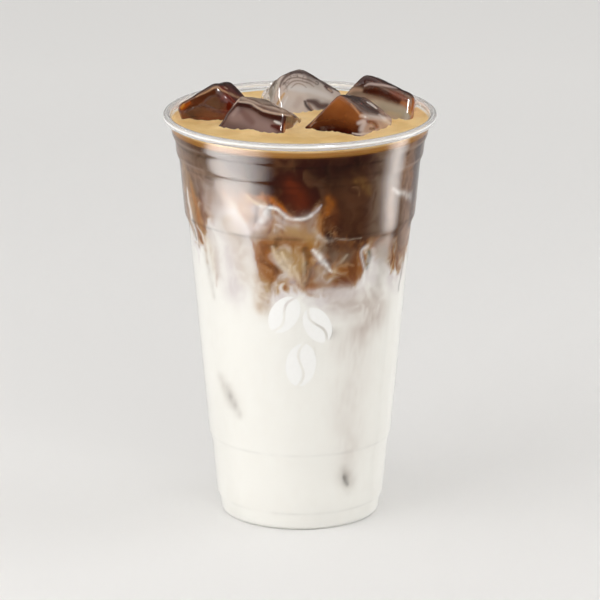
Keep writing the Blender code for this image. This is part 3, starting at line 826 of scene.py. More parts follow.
# Marks on the front, in the order in which they are laid down: colour, strength, a line of points
# (degrees round from the front, height in mm, half width in mm), and sharpness where it isn't 2
MARKS = (
    # coffee
    ("dark", 0.75, ((10, 138, 4), (17, 135, 6), (25, 139, 5))),
    ("red_brown", 0.75, ((-4, 134, 2.4), (-1.5, 129, 3.6), (0, 124.6, 3.0))),
    ("brown", 0.75, ((22, 133, 4), (24, 124, 6), (28, 115, 5))),
    ("brown", 0.6, ((33, 130, 4), (34, 120, 4), (34, 113, 4))),
    # The next marks, paler grey-brown, mocha and fog over the coffee at both sides, are partly the
    # drink's colour and partly a painted reflection
    ("grey_brown", 0.9, ((39, 142, 3.0), (40, 128, 3.6), (40.5, 114, 3.6))),
    ("grey_brown", 1.0, ((47, 142, 3.6), (48, 128, 4.4), (49, 113, 4.4), (50, 104, 3.6))),
    ("grey_brown", 1.0, ((-74, 141, 6), (-60, 136, 6), (-48, 133, 5))),
    ("mocha", 0.75, ((-78, 138, 4), (-68, 134, 5), (-56, 131, 5))),
    ("grey_brown", 0.8, ((-62, 141, 3.0), (-52, 139.5, 4.0), (-43, 139, 3.0))),
    ("fog", 0.6, ((-50, 129, 4), (-38, 130, 5), (-27, 132, 3))),
    ("mocha", 1.0, ((60, 141, 4.4), (61, 130, 5), (64, 116, 5), (70, 106, 4.4))),
    ("grey_brown", 0.5, ((56, 122, 2.4), (60, 112, 3.0), (64, 103, 3.0))),
    ("amber", 0.4, ((64, 134, 1.4), (68.5, 129, 1.6), (67, 125.6, 1.0))),
    ("gold", 0.25, ((27, 133, 1.6), (31, 131, 2.0), (34, 128, 1.4))),
    # left side
    ("fog", 0.6, ((-55, 127, 4), (-50, 124, 4), (-47, 119, 3))),
    ("mocha", 0.9, ((-78, 129, 3.4), (-75, 122, 4.0), (-73, 115, 3.6))),
    ("tan", 0.8, ((-72, 131, 3.4), (-69, 124, 4.0), (-67, 117, 3.6))),
    ("gold", 0.6, ((-66, 129, 1.6), (-63, 123, 2.4), (-60, 118, 2.6), (-58.5, 113, 2.0))),
    ("tan", 0.5, ((-66, 121, 2.0), (-65, 117, 2.4), (-64, 113, 2.0))),
    ("lobe", 0.7, ((-55, 126, 1.6), (-55, 120, 2.2), (-54.5, 115.5, 1.5))),
    ("orange", 0.35, ((-65.5, 126.6, 1.1), (-63, 123, 1.0), (-60, 118, 1.3), (-58.5, 113.6, 1.8))),
    ("tan", 0.6, ((-51.5, 120, 1.0), (-49, 118, 1.6), (-48, 116, 1.0))),
    ("gold", 0.5, ((-59, 111, 1.2), (-59, 106, 1.0), (-58.8, 103, 0.8))),
    ("khaki", 0.5, ((-58.8, 103, 1.0), (-58.3, 98.5, 0.8))),
    ("fog", 0.55, ((-80, 122, 1.8), (-76, 114, 1.9), (-73.5, 108, 1.4))),
    ("white", 0.85, ((-71, 124, 0.8), (-70, 119, 1.4), (-68, 113, 1.7), (-68.5, 108, 1.5),
        (-67, 101, 1.4))),
    ("shadow", 0.8, ((-70.4, 108.4, 0.35), (-69, 106, 0.55), (-68.6, 105.2, 0.35))),
    ("white", 0.55, ((-50, 121.6, 0.5), (-45.6, 121.4, 0.9), (-42.4, 120, 1.1), (-40.6, 116.6, 0.8))),
    ("khaki", 0.35, ((-56, 108, 2.4), (-53, 103, 2.8), (-52, 98, 2.4))),
    ("veil", 0.5, ((-52, 113, 2.4), (-49.6, 104, 2.6), (-49, 96, 2.2))),
    ("pinkish", 0.4, ((-50.6, 95.4, 0.8), (-50.4, 92.6, 1.0), (-50.6, 90.6, 0.7))),
    ("grey", 0.4, ((-60, 104, 1.6), (-57, 95, 1.8), (-54, 86, 1.4))),
    ("lilac", 0.85, ((-46, 122, 5), (-36, 116, 7), (-36, 104, 8), (-38, 92, 6))),
    ("veil", 0.75, ((-47, 126, 4), (-38, 119, 6), (-31, 113, 5))),
    ("fog", 0.45, ((-46, 127, 2.4), (-38, 126, 3.0), (-29, 126, 2.4))),
    ("beige", 0.35, ((-38, 116, 3.4), (-33, 108, 4.2), (-30, 98, 3.6))),
    ("mocha", 0.5, ((-49, 126, 1.8), (-49, 123.6, 2.4), (-50, 121, 1.8))),
    # middle, under the coffee
    ("pinkish", 0.65, ((-13, 119, 3.0), (-8, 119, 3.6), (-1, 117, 3.4), (5, 119, 3.0))),
    ("lilac", 0.45, ((-11.4, 121, 1.0), (-6.6, 118.6, 1.6), (-1, 117, 1.4))),
    ("white", 0.4, ((-11.8, 118.4, 0.35), (-9, 117.6, 0.6), (-6, 116, 0.4))),
    ("khaki", 0.8, ((-5, 116, 1.8), (0, 114.6, 2.6), (4, 113, 2.2))),
    ("lilac", 0.75, ((-22, 123.4, 2.2), (-17.4, 122.4, 2.8), (-19, 118.6, 3.0), (-25, 114, 3.0))),
    ("white", 0.75, ((-19, 124.8, 1.0), (-16.6, 123, 1.7), (-18.6, 119.8, 1.3))),
    ("fog", 0.7, ((-22, 112.8, 1.6), (-16, 113.8, 2.0), (-11, 114.6, 1.8))),
    ("tan", 0.75, ((-14, 112.8, 1.8), (-8, 113.4, 2.2), (-1, 113.0, 1.8))),
    ("lobe", 0.4, ((-12, 112.4, 1.0), (-6, 112.8, 1.2), (0, 112.4, 1.0))),
    ("caramel", 0.6, ((-17, 111.2, 0.9), (-10, 110.7, 1.2), (-2, 110.9, 1.2), (2.4, 110.6, 0.8))),
    ("khaki", 0.7, ((-12, 107.6, 2.2), (-7, 107.2, 3.0), (-1, 106, 3.2), (1, 101, 2.6))),
    ("caramel", 0.75, ((-20.6, 108, 2.2), (-19.4, 103, 3.2), (-17, 98.6, 2.8))),
    ("amber", 0.7, ((-17.6, 109.8, 1.4), (-16.4, 107, 2.2), (-14, 103.4, 1.8))),
    ("tan", 0.5, ((-21, 98, 2.8), (-21.4, 92, 2.8), (-22, 86, 2.2))),
    ("khaki", 0.3, ((-17.6, 95, 2.2), (-18.6, 89, 2.2), (-19, 84, 1.8))),
    ("cream", 0.7, ((-13.8, 108.8, 0.5), (-11.2, 105.2, 0.9), (-7.8, 101.8, 1.1), (-4.2, 98.2, 0.8))),
    ("cream", 0.65, ((-9, 107.4, 0.5), (-6, 103.2, 0.9), (-1.2, 98.6, 1.0), (1.4, 95.4, 0.6))),
    ("lilac", 0.5, ((-6, 98, 1.4), (-3, 95.6, 2.0), (0, 93.6, 1.6))),
    ("gold", 0.5, ((3, 116, 0.8), (5, 111.4, 1.2), (6.4, 107, 1.3), (6, 102, 1.0))),
    ("cream", 0.45, ((1.6, 107, 0.5), (2.6, 101, 0.8), (3, 95, 0.8))),
    ("fog", 0.6, ((8, 101, 2.6), (11, 98, 3.0), (14, 95.6, 2.6))),
    ("gold", 0.3, ((9, 101.6, 1.0), (12, 99.8, 1.4), (14.4, 98.6, 1.0))),
    ("pinkish", 0.6, ((12, 96, 1.8), (15, 94.4, 1.8))),
    # tongue of coffee and its rims
    ("fog", 0.7, ((2, 121.6, 1.6), (5, 119.6, 2.2), (5, 116, 1.8))),
    ("amber", 0.6, ((11.4, 124, 1.3), (11, 119.6, 1.7), (9.8, 115.6, 1.3))),
    ("gold", 0.4, ((8.8, 122, 0.5), (9, 118, 0.7), (7.6, 114.4, 0.6))),
    ("orange", 0.6, ((13.2, 127.8, 1.2), (14.6, 125.6, 1.6), (13, 122.8, 1.0))),
    ("lobe", 0.6, ((16.6, 123, 1.4), (16.4, 119.6, 1.8), (15.4, 116.6, 1.2))),
    ("orange", 0.75, ((-20.4, 128.6, 0.6), (-16, 128.1, 1.2), (-12, 127.2, 1.3), (-8.7, 125.2, 1.2),
        (-6.2, 123, 0.6))),
    ("cream", 0.7, ((-27, 128.5, 0.3), (-24.2, 126.8, 0.6), (-20.6, 126, 0.6), (-17, 126.2, 0.5))),
    ("white", 0.95, ((-19.4, 125.3, 0.5), (-14.3, 124.9, 0.7), (-10.4, 124, 0.6), (-7.7, 122.2, 0.6),
        (-4.4, 120.4, 0.8), (0, 120.2, 0.8), (4.6, 121.8, 0.6))),
    ("lilac", 0.7, ((4.6, 121.8, 0.6), (7.4, 123.6, 0.5), (9.6, 125.4, 0.3))),
    # right side
    ("fog", 0.75, ((8.6, 113.4, 1.2), (12, 111.9, 1.6), (16, 112.2, 1.0))),
    ("beige", 0.6, ((8.6, 113.8, 0.6), (11.8, 111.9, 1.0), (13.4, 111.6, 0.6))),
    ("grey_brown", 0.85, ((13, 108, 2.8), (20, 106, 3.4), (27, 105, 3.2))),
    ("brown", 0.7, ((14, 109.6, 1.0), (18, 110, 1.6), (24, 109.8, 1.8), (31, 109, 1.4))),
    ("brown", 0.5, ((16, 107.4, 1.4), (21, 108.6, 1.3), (25, 106.8, 1.4), (22, 104, 1.4))),
    ("beige", 0.35, ((17.8, 112.9, 0.3), (24, 112.1, 0.5), (31.8, 112, 0.4))),
    ("tan", 0.18, ((25, 130.6, 0.35), (28, 129.6, 0.5), (28.4, 127.4, 0.35))),
    ("white", 0.9, ((6.6, 107.9, 0.6), (10.2, 105.2, 1.3), (13.9, 102.6, 0.9), (17, 100.2, 0.4))),
    ("lobe", 0.9, ((20.6, 96.4, 2.6), (26, 96.6, 3.4), (29.4, 99.6, 3.2), (30.4, 104, 2.6)), 3),
    ("red_brown", 0.3, ((24, 95, 1.6), (27.6, 95, 1.8), (30, 96, 1.4))),
    ("caramel", 0.6, ((31.4, 106, 1.2), (32.6, 101, 1.5), (32.4, 96.6, 1.2))),
    ("cream", 0.4, ((17.8, 99.4, 0.7), (20, 102.6, 0.8), (24.6, 105.8, 0.5))),
    ("tan", 0.5, ((20.4, 101.6, 0.4), (24, 102.6, 0.6), (28.4, 101, 0.4))),
    ("lilac", 0.7, ((5, 92.6, 1.4), (12, 92, 1.8), (18.7, 91.4, 2.0), (24, 90.6, 2.0), (29, 90, 2.0),
        (34, 90.6, 2.0))),
    ("white", 0.6, ((31, 91.4, 0.7), (35.4, 93.4, 0.8), (36.9, 98, 0.8), (35, 102.4, 0.8),
        (34, 106.6, 0.9), (37.4, 107.8, 0.8))),
    ("grey", 0.6, ((45, 106, 3.4), (47, 99, 4.0), (47, 92, 3.4))),
    ("lilac", 0.5, ((41, 106, 1.2), (43, 100, 1.6), (42, 94, 1.4))),
    ("green_grey", 0.75, ((38.6, 105.4, 0.9), (38.9, 102.8, 1.2), (37.6, 99.4, 0.7))),
    ("mocha", 0.6, ((49, 126, 2.2), (50, 116, 2.4), (51, 107, 2.0))),
    ("white", 0.5, ((50, 127.4, 0.6), (56, 125, 1.0), (62, 123.6, 1.3), (69, 121.2, 1.5))),
    ("grey_brown", 0.4, ((57, 107, 1.2), (60, 101, 1.0), (60, 96, 0.7))),
    ("grey_brown", 0.45, ((68.6, 105, 1.8), (71.6, 98, 1.6), (70, 92, 1.0))),
    ("shadow", 0.4, ((70, 92, 0.6), (68.6, 86.4, 0.7))),
    ("fog", 0.35, ((41, 90.6, 1.0), (44, 88, 1.3), (47, 86.6, 1.0))),
    # greyer milk, and ice that is sunk in it near the wall
    ("veil", 0.8, ((20, 88, 4), (32, 86, 6), (46, 82, 7), (36, 76, 6))),
    ("veil", 0.3, ((24, 70, 6), (36, 62, 8), (30, 50, 8), (34, 30, 7))),
    ("grey", 0.55, ((-54.5, 54, 1.8), (-46.5, 49.2, 3.2), (-39.6, 44.4, 1.8))),
    ("smudge", 0.5, ((-49.6, 50.8, 1.1), (-45, 48, 1.6), (-41.6, 45.8, 1.1))),
    ("grey", 0.75, ((30, 21, 3.2), (35, 17.6, 3.4))),
    ("shadow", 0.9, ((30.6, 20.0, 0.8), (32, 18.3, 1.3), (33.4, 16.9, 0.8))),
    ("grey", 0.5, ((9, 79.5, 1.2), (14, 78.2, 1.8), (20, 75.6, 1.8))),
    ("shadow", 0.35, ((15.2, 77.6, 0.6), (18.8, 75.8, 0.7))),
)
# Painted shade: fine dark lines where the wall steps: (height in mm, strength)
RING_SHADE_LINES = ((6.6, 0.06), (29.6, 0.06), (112.6, 0.24), (131.8, 0.26), (135.2, 0.16), (139.4, 0.3))
RING_SHADE_REACH = 0.5
# Painted reflections of the upper steps, as pale lines: (height in mm, strength). Round the cup they
# begin at some degrees from the front, and are full some degrees further
STEP_REFLECTIONS = ((141.0, 0.55), (134.2, 0.5))
STEP_REFLECTION_REACH = 0.55
STEP_REFLECTION_FROM = 44.0
STEP_REFLECTION_FULL_AFTER = 14.0
# Foam that clouds the uppermost coffee: (height in mm where it begins, how soon it is full, strength)
FOAMY = (142.6, 0.8, 0.4)
RANDOM_MARKS = 60
MARK_SEED = 5
MARK_STEPS = 7  # parts of a mark's curve from one point to the next
MARK_WINDOW = (40.0, 14.0)  # mm across from a mark's middle and up from its ends, where it is looked for


def mark_cover(degrees, heights, points, sharpness=2):
    """How much a mark covers each place of the wall, from 0 to 1."""
    line = smooth_line(points, MARK_STEPS)
    middle = line[:, 0].mean()
    per_degree = math.radians(WALL_RADIUS)
    across = wrapped(degrees - middle) * per_degree
    line[:, 0] = (line[:, 0] - middle) * per_degree
    sideways, upwards = MARK_WINDOW
    near = (heights > line[:, 1].min() - upwards) & (heights < line[:, 1].max() + upwards)
    near &= np.abs(across) < sideways
    cover = np.zeros(len(degrees))
    cover[near] = line_cover(np.stack([across[near], heights[near]], 1), line, sharpness)
    return cover


def random_marks():
    """Marks like the front's, for the sides and the back."""
    rng = np.random.default_rng(MARK_SEED)
    names = ("white", "cream", "tan", "pinkish", "caramel", "lobe", "white", "khaki", "lilac", "amber")
    thin = ("white", "cream", "amber", "caramel")
    marks = []
    for k in range(RANDOM_MARKS):
        name = names[k % len(names)]
        start = rng.uniform(80, 278)
        height = rng.uniform(100, 127)
        lean = rng.uniform(-9, 9)
        wide = rng.uniform(0.8, 1.6) if name in thin else rng.uniform(1.6, 3.2)
        points = []
        for step in range(4):
            sway = rng.uniform(-1.5, 1.5)
            swell = wide * (0.5 if step in (0, 3) else 1.0)
            points.append((start + lean * step / 3 + sway, height - 3.6 * step, swell))
        strength = rng.uniform(0.5, 0.9) * (0.55 if name in thin else 1.0)
        marks.append((name, strength, tuple(points)))
    return marks


def round_the_cup(degrees, column):
    """One of the edges' heights in between its points, smoothed, round the whole cup."""
    table = np.array(EDGES, float)
    fine = np.linspace(-180, 180, 721)
    rough = np.interp(fine, table[:, 0], table[:, column])
    kernel = bell(np.arange(-8, 9), 3.0)
    padded = np.concatenate([rough[-9:-1], rough, rough[1:9]])
    smooth = np.convolve(padded, kernel / kernel.sum(), "valid")
    return np.interp(degrees, fine, smooth)


# How much coffee is in the mixture, and its colour
RAMP = (
    (0.0, "milk"), (0.14, "lilac"), (0.26, "beige"), (0.4, "tan"), (0.55, "caramel"), (0.68, "lobe"),
    (0.82, "brown"), (1.0, "coffee"),
)
GREY_RAMP = (
    (0.0, "milk"), (0.14, "lilac"), (0.28, "veil"), (0.45, "fog"), (0.66, "grey_brown"),
    (0.84, "brown"), (1.0, "coffee"),
)


def ramp_colours(mixed, ramp):
    stops = [stop for stop, _ in ramp]
    inks = np.array([INK[name] for _, name in ramp])
    return np.stack([np.interp(mixed, stops, inks[:, c]) for c in range(3)], 1)


def marbled(degrees, heights, streaky, swirl, smoke):
    """The drink's colours before its marks: by how much coffee there is, warm here and grey there."""
    coffee_edge = round_the_cup(degrees, 1)
    mix_edge = round_the_cup(degrees, 2)
    within = np.clip((heights - mix_edge) / np.maximum(coffee_edge - mix_edge, 1.0), 0.0, 1.0)
    mixture = 0.40 + 0.32 * within + 0.46 * smoke
    mixture *= smoothstep((heights - mix_edge + 2.5 * smoke) / 5.0 + 0.5)
    haze = 0.16 * smoothstep((heights - mix_edge + 12) / 14) * (0.6 + smoke)
    mixed = np.maximum(mixture, haze)
    dark = smoothstep((heights - coffee_edge + 2.0 * smoke) / 3.4 + 0.5)
    deep = 1.0 - 0.2 * smoothstep(0.25 + 1.1 * fractal(streaky, 7.0, 57, 3))
    mixed = np.clip(mixed * (1 - dark) + dark * deep, 0.0, 1.0)
    warm = smoothstep(0.75 + 0.9 * fractal(streaky, 9.0, 55, 3))
    colours = blended(ramp_colours(mixed, GREY_RAMP), ramp_colours(mixed, RAMP), warm)
    threads = bell(fractal(streaky + 4.0 * swirl, 6.0, 61, 2), 0.07)
    inside = smoothstep((heights - mix_edge) / 3.0) * (1 - smoothstep((heights - coffee_edge) / 3.0))
    return blended(colours, INK["tan"], 0.35 * threads * inside)


def drink_colours(points):
    """Colour of the drink at its surface: milk below, coffee above, marbled where they meet."""
    mm = points / MM
    bend = fractal(mm, 14.0, 21, 3)
    lift = fractal(mm, 12.0, 31, 3)
    swirl = np.stack([bend, lift, -bend], 1)
    curls = fractal(mm + 3.0 * swirl, 4.0, 41, 2)
    degrees = np.degrees(np.arctan2(mm[:, 0], -mm[:, 1]))
    degrees = wrapped(degrees + np.degrees((0.9 * bend + 0.12 * curls) / WALL_RADIUS))
    heights = mm[:, 2] + 0.9 * lift + 0.15 * fractal(mm - 3.0 * swirl, 4.0, 45, 2)
    streaky = (mm + 6.0 * swirl) * (1, 1, 0.4)
    smoke = fractal(streaky, 6.0, 51, 4)
    colours = marbled(degrees, heights, streaky, swirl, smoke)
    patchy = 0.62 + 0.5 * smoothstep(0.5 + 0.9 * fractal(streaky, 3.6, 65, 3))
    for name, strength, *shape in (*random_marks(), *MARKS):
        share = strength * mark_cover(degrees, heights, *shape) * patchy
        colours = blended(colours, INK[name], np.minimum(share, 1.0))
    # Painted shade along the wall's steps
    for height, strength in RING_SHADE_LINES:
        colours *= (1 - strength * bell(mm[:, 2] - height, RING_SHADE_REACH) * (0.8 + smoke))[:, None]
    # Painted reflections of the upper steps, pale lines beside the front
    beside = smoothstep((np.abs(degrees) - STEP_REFLECTION_FROM) / STEP_REFLECTION_FULL_AFTER)
    for height, strength in STEP_REFLECTIONS:
        share = strength * beside * bell(mm[:, 2] - height, STEP_REFLECTION_REACH)
        colours = blended(colours, INK["fog"], share)
    foam_from, foam_depth, foam_strength = FOAMY
    return blended(colours, INK["amber"], foam_strength * smoothstep((mm[:, 2] - foam_from) / foam_depth))


# What shows deep under each block, a painted glow of light
BED_GLOW_INKS = {"ice_1": "lobe", "ice_2": "coffee", "ice_3": "veil", "ice_4": "caramel", "ice_5": "lobe"}


def bed_colours(points):
    """Coffee round the sunk parts of the ice, with a painted glow of light under each block."""
    cloud = fractal(points, 9.0 * MM, 91, 3)
    colours = np.tile(INK["coffee"], (len(points), 1))
    for name, ink in BED_GLOW_INKS.items():
        low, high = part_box(name)
        away = np.hypot(points[:, 0] - (low.x + high.x) / 2, points[:, 1] - (low.y + high.y) / 2)
        colours = blended(colours, INK[ink], smoothstep(1.5 - away / (11.0 * MM) + 0.7 * cloud))
    return colours


def calm_shading(mesh, inside):
    """Milk glows from within, so its shading ignores the small steps of the wall round it."""
    points = vertex_values(mesh, "co")
    out = vertex_values(mesh, "normal")
    radius = np.hypot(points[:, 0], points[:, 1])
    on_wall = ~inside & (points[:, 2] > FOOT_CORNER) & (points[:, 2] < CREMA_BOTTOM - 0.1 * MM)
    on_wall &= radius > inner_radius(points[:, 2]) - 0.3 * MM
    out[on_wall] = draft_normals(points)[on_wall]
    set_normals(mesh, out)


def make_drink(cutters):
    low, high = LOW_SMUDGE
    coarse = wall_heights(FOOT_CORNER, MARBLED_FROM - FINE_STEP)[1:]
    coarse = [z for z in coarse if not low <= z <= high]
    coarse = sorted(coarse + list(np.arange(low, high, SMUDGE_STEP)))
    fine = list(np.arange(MARBLED_FROM, CREMA_BOTTOM, FINE_STEP))
    heights = coarse + fine + [CREMA_BOTTOM]
    side = [(float(inner_radius(z)) + REACH, z) for z in heights]
    profile = base_profile(WALL - REACH) + side + [(0.0, CREMA_BOTTOM)]
    drink = turned("drink_body", profile, DRINK_SEGMENTS)
    mesh = cut_beds(drink, cutters)
    mesh.materials.append(drink_material())
    points = vertex_values(mesh, "co")
    colours = drink_colours(points)
    inside = np.hypot(points[:, 0], points[:, 1]) < inner_radius(points[:, 2]) - 0.6 * MM
    inside &= points[:, 2] > BEDS_FROM
    colours[inside] = bed_colours(points[inside])
    set_colours(mesh, "drink_colour", colours)
    calm_shading(mesh, inside)
    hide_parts("milk", "coffee")


# Crema
CREMA_SEGMENTS = 360
CREMA_RINGS = 70
CREMA_ROWS = (0, 0.35, 0.7, 0.88, 1)  # rows of its side, as shares of its depth
FAR_FROM_ICE = 20.0 * MM
ICE_SEARCH = 8.0 * MM
CREMA_PALE = linear(230, 196, 134)
CREMA_DEEP = linear(216, 178, 112)
CREMA_AT_ICE = linear(238, 210, 160)
# Browner side of the crema, darkened also by painted shade, as it is lit less than its top
CREMA_SHADED_SIDE = linear(166, 113, 42)


def ice_distances(points, asked, blocks):
    """How far the ice is from the asked points. The others count as far from it."""
    graph = bpy.context.evaluated_depsgraph_get()
    trees = [BVHTree.FromObject(block, graph) for block in blocks.values()]
    to_ice = np.full(len(points), FAR_FROM_ICE)
    for k in np.flatnonzero(asked):
        for tree in trees:
            distance = tree.find_nearest(Vector(points[k]), ICE_SEARCH)[3]
            if distance is not None:
                to_ice[k] = min(to_ice[k], distance)
    return to_ice


def crema_colours(points, to_ice):
    """Paler and deeper clouds, bright foam round the ice, and a browner side behind the wall, darker by
    painted shade.
    """
    cloud = smoothstep(0.5 + fractal(points, 11.0 * MM, 81, 4))
    colours = blended(CREMA_DEEP, CREMA_PALE, cloud)
    colours = blended(colours, CREMA_AT_ICE, 0.5 * np.exp(-to_ice / (1.6 * MM)))
    upwards = (points[:, 2] - CREMA_BOTTOM) / CREMA_DEPTH
    # Painted shade down the side
    return blended(colours, CREMA_SHADED_SIDE, 1 - smoothstep((upwards - 0.8) / 0.2))


def make_crema(cutters, blocks):
    """Foam layer: higher against the wall and the ice, with fine relief on top."""
    edge = float(inner_radius(CREMA_TOP)) + REACH
    low_edge = float(inner_radius(CREMA_BOTTOM)) + REACH
    side = [(low_edge + (edge - low_edge) * t, CREMA_BOTTOM + CREMA_DEPTH * t) for t in CREMA_ROWS]
    rings = [(edge * k / CREMA_RINGS, CREMA_TOP) for k in range(CREMA_RINGS - 1, 0, -1)]
    profile = [(0.0, CREMA_BOTTOM)] + side + rings + [(0.0, CREMA_TOP)]
    crema = turned("crema_layer", profile, CREMA_SEGMENTS)
    mesh = cut_beds(crema, cutters)
    mesh.materials.append(crema_material())
    points = vertex_values(mesh, "co")
    top = points[:, 2] > CREMA_TOP - 0.05 * MM
    to_ice = ice_distances(points, top, blocks)
    to_wall = edge - np.hypot(points[:, 0], points[:, 1])
    foam = np.clip(0.5 + fractal(points, 3.0 * MM, 73, 3), 0.15, 1.2)
    rise = 0.55 * np.exp(-to_wall / MM) + 0.9 * foam * np.exp(-to_ice / MM)
    rise += 0.10 * fractal(points, 5.0 * MM, 71, 3)
    moved = points.copy()
    moved[:, 2] += np.where(top, rise * MM, 0.0)
    set_coordinates(mesh, moved)
    set_colours(mesh, "crema_colour", crema_colours(points, to_ice))
    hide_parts("crema")


# Print: three plain coffee beans on the front of the cup, as a thin layer of white ink
BEANS = (
    # degrees round from the front, height, long half, short half in mm, tilt in degrees
    (-8.5, 84.0, 7.6, 5.0, 58.0),
    (9.5, 80.0, 7.2, 4.7, 118.0),
    (0.5, 65.0, 8.2, 5.4, 82.0),
)
INK_STEP = 0.5  # mm between the points inside a bean
INK_DEPTH = 0.04 * MM
BEAN_GAP = 0.5


def bean_halves(long_half, short_half):
    """The two halves of a bean, parted by an S-shaped gap, as outlines in mm."""
    t = np.linspace(-1, 1, 25)
    middle = np.stack([t * long_half, 0.28 * short_half * np.sin(t * math.pi)], 1)
    around = np.linspace(math.pi, 0, 31)[1:-1]
    halves = []
    for side in (-1, 1):
        rim = np.stack([long_half * np.cos(around), side * short_half * np.sin(around)], 1)
        inner = middle + (0, side * BEAN_GAP)
        trim = np.abs(inner[:, 0]) < long_half * 0.965
        halves.append(np.vstack([rim, inner[trim][::-1]]))
    return halves


def make_print():
    verts = []
    faces = []
    for place, height, long_half, short_half, tilt in BEANS:
        turn = math.radians(tilt)
        spin = np.array(((math.cos(turn), math.sin(turn)), (-math.sin(turn), math.cos(turn))))
        for outline in bean_halves(long_half, short_half):
            flat = outline @ spin
            low, high = flat.min(0), flat.max(0)
            xs = np.arange(low[0], high[0], INK_STEP)
            ys = np.arange(low[1], high[1], INK_STEP)
            inner = [(x, y) for x in xs for y in ys if in_outline(x, y, flat)]
            seeds = [Vector(p) for p in (*flat, *inner)]
            made = delaunay_2d_cdt(seeds, [], [list(range(len(flat)))], 1, 1e-5)
            start = len(verts)
            for point in made[0]:
                z = (height + point[1]) * MM
                radius = float(outer_radius(z)) + INK_DEPTH
                angle = math.radians(place) + point[0] * MM / radius
                verts.append((radius * math.sin(angle), -radius * math.cos(angle), z))
            faces += [tuple(start + k for k in face) for face in made[2]]
    beans = add_mesh("printed_beans", verts, faces, ink_material())


def in_outline(x, y, outline):
    inside = False
    for (x1, y1), (x2, y2) in zip(outline, np.roll(outline, -1, 0)):
        if (y1 > y) != (y2 > y) and x < (x2 - x1) * (y - y1) / (y2 - y1) + x1:
            inside = not inside
    return inside


# Stage
SKY = 0.74
AIM = Vector((0, 0, 0.08))
FLOOR = 24.0
# Soft fades of the panels, as shares of their size: start, full, still full, end
SOFT = (0, 0.4, 0.6, 1)
LEFT_FADE = (0.05, 0.44, 0.48, 0.92)
RIGHT_FADE = (0, 0.5, 0.5, 1)
LEFT_ENDS = (0.385, 0.415, 0.48, 0.56)
RIGHT_ENDS = (0.38, 0.415, 0.5, 0.6)
WHITE = (1.0, 1.0, 1.0)
WARM = (1.0, 0.965, 0.93)
ROSY = (1.0, 0.84, 0.74)


def rectangle(width, height):
    """Corners of a flat rectangle round the origin."""
    return [(x * width / 2, y * height / 2, 0) for x, y in ((-1, -1), (1, -1), (1, 1), (-1, 1))]


def place(obj, azimuth, elevation, distance):
    """Puts a lamp or panel round the cup, facing it. Azimuth is from the front to the right."""
    a, e = math.radians(azimuth), math.radians(elevation)
    out = Vector((math.sin(a) * math.cos(e), -math.cos(a) * math.cos(e), math.sin(e)))
    obj.location = AIM + out * distance
    obj.rotation_euler = (math.radians(90) - e, 0, a)


def add_light(name, spot, size, power):
    """A soft lamp that looks at the middle of the cup."""
    lamp = bpy.data.lights.new(name, "AREA")
    lamp.shape = "RECTANGLE"
    lamp.size, lamp.size_y = size
    lamp.energy = power
    made = put_in_scene(name, lamp)
    place(made, *spot)
    made.visible_camera = False


def glow_material(name, strength, fades, colour):
    """Light of a soft panel, which fades across it and upwards as shares of its size."""
    made, tree = new_material(name)
    tree.nodes.remove(tree.nodes["Principled BSDF"])
    where = add_node(tree, "TexCoord", {}, "Generated")
    level = 1.0
    for axis, (start, full, still, end) in zip("XY", fades):
        along = add_node(tree, "SeparateXYZ", {0: where}, axis)
        for low, high in ((start, full), (end, still)):
            slope = range_node(tree, along, low, high, 0.0, 1.0, "SMOOTHSTEP")
            level = add_node(tree, "Math", {0: level, 1: slope}, operation="MULTIPLY")
    power = range_node(tree, level, 0.0, 1.0, 0.0, strength)
    glow = add_node(tree, "Emission", {"Color": colour, "Strength": power})
    fill_inputs(tree, tree.nodes["Material Output"], {"Surface": glow})
    return made


def add_panel(name, spot, size, strength, fades=(SOFT, SOFT), roll=0.0, colour=WHITE):
    """A glowing panel that faces the cup and shows only in reflections."""
    look = glow_material(name, strength, fades, colour)
    panel = add_mesh(name, rectangle(*size), [(0, 1, 2, 3)], look, None)
    place(panel, *spot)
    panel.rotation_euler.y = math.radians(roll)
    panel.visible_camera = False
    panel.visible_diffuse = False
    panel.visible_shadow = False
    panel.visible_transmission = False


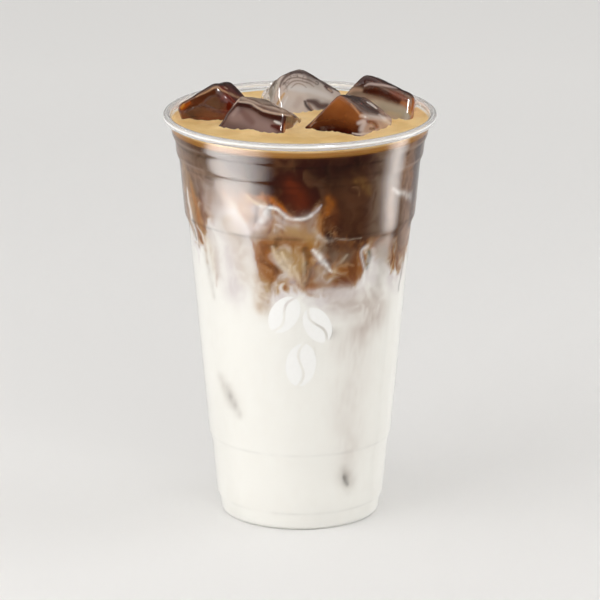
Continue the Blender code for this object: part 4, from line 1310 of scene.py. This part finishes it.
def make_world():
    """Even light from all round. Below the horizon it is dark, except behind the cup."""
    world = bpy.data.worlds.new("studio")
    bpy.context.scene.world = world
    world.use_nodes = True
    tree = world.node_tree
    where = add_node(tree, "TexCoord", {}, "Generated")
    upwards = add_node(tree, "SeparateXYZ", {0: where}, "Z")
    backwards = add_node(tree, "SeparateXYZ", {0: where}, "Y")
    above = range_node(tree, upwards, -0.15, -0.03, 0.02 * SKY, SKY)
    behind = range_node(tree, backwards, 0.25, 0.75, 0.0, 0.85 * SKY, "SMOOTHSTEP")
    level = add_node(tree, "Math", {0: above, 1: behind}, operation="MAXIMUM")
    fill_inputs(tree, tree.nodes["Background"], {"Color": (1.0, 0.985, 0.965), "Strength": level})


def make_stage():
    floor = add_mesh("floor", rectangle(FLOOR, FLOOR), [(0, 1, 2, 3)], floor_material(), None)
    floor.visible_glossy = False
    make_world()
    add_light("key", (-55, 32, 1.6), (1.2, 1.2), 6.4)
    add_light("left", (-95, 12, 1.4), (0.8, 0.8), 3.0)
    add_light("front", (15, 22, 1.6), (1.4, 0.9), 2.4)
    add_light("right", (97, 14, 1.5), (0.9, 0.9), 5.8)
    add_panel("left_panel", (-60, 0, 0.30), (0.62, 0.8), 14.3, (LEFT_FADE, LEFT_ENDS), 5.0, WARM)
    add_panel("right_panel", (95.6, 0, 0.30), (0.21, 0.8), 8.6, (RIGHT_FADE, RIGHT_ENDS), 0.0, WARM)
    add_panel("top_panel", (-10, 64, 0.60), (0.5, 0.35), 1.7, colour=ROSY)
    add_panel("dark_card", (180, 24, 0.60), (1.1, 0.5), 0.1)
    add_panel("right_glint", (24, 46, 0.60), (0.12, 0.30), 90.0)
    add_panel("left_glint", (-38, 38, 0.60), (0.07, 0.24), 80.0)


def make_camera():
    lens = bpy.data.cameras.new("camera")
    lens.lens = CAMERA_LENS
    lens.sensor_width = CAMERA_SENSOR
    camera = put_in_scene("camera", lens)
    camera.location = CAMERA_PLACE
    camera.rotation_euler = (math.radians(90 - CAMERA_PITCH), 0, 0)
    bpy.context.scene.camera = camera


def main():
    make_camera()
    make_stage()
    make_cup()
    blocks = make_ice()
    cutters = ice_cutters(blocks)
    make_drink(cutters)
    make_crema(cutters, blocks)
    make_print()
    for cutter in cutters:
        bpy.data.objects.remove(cutter)
    scene = bpy.context.scene
    scene.view_settings.view_transform = "Standard"


main()
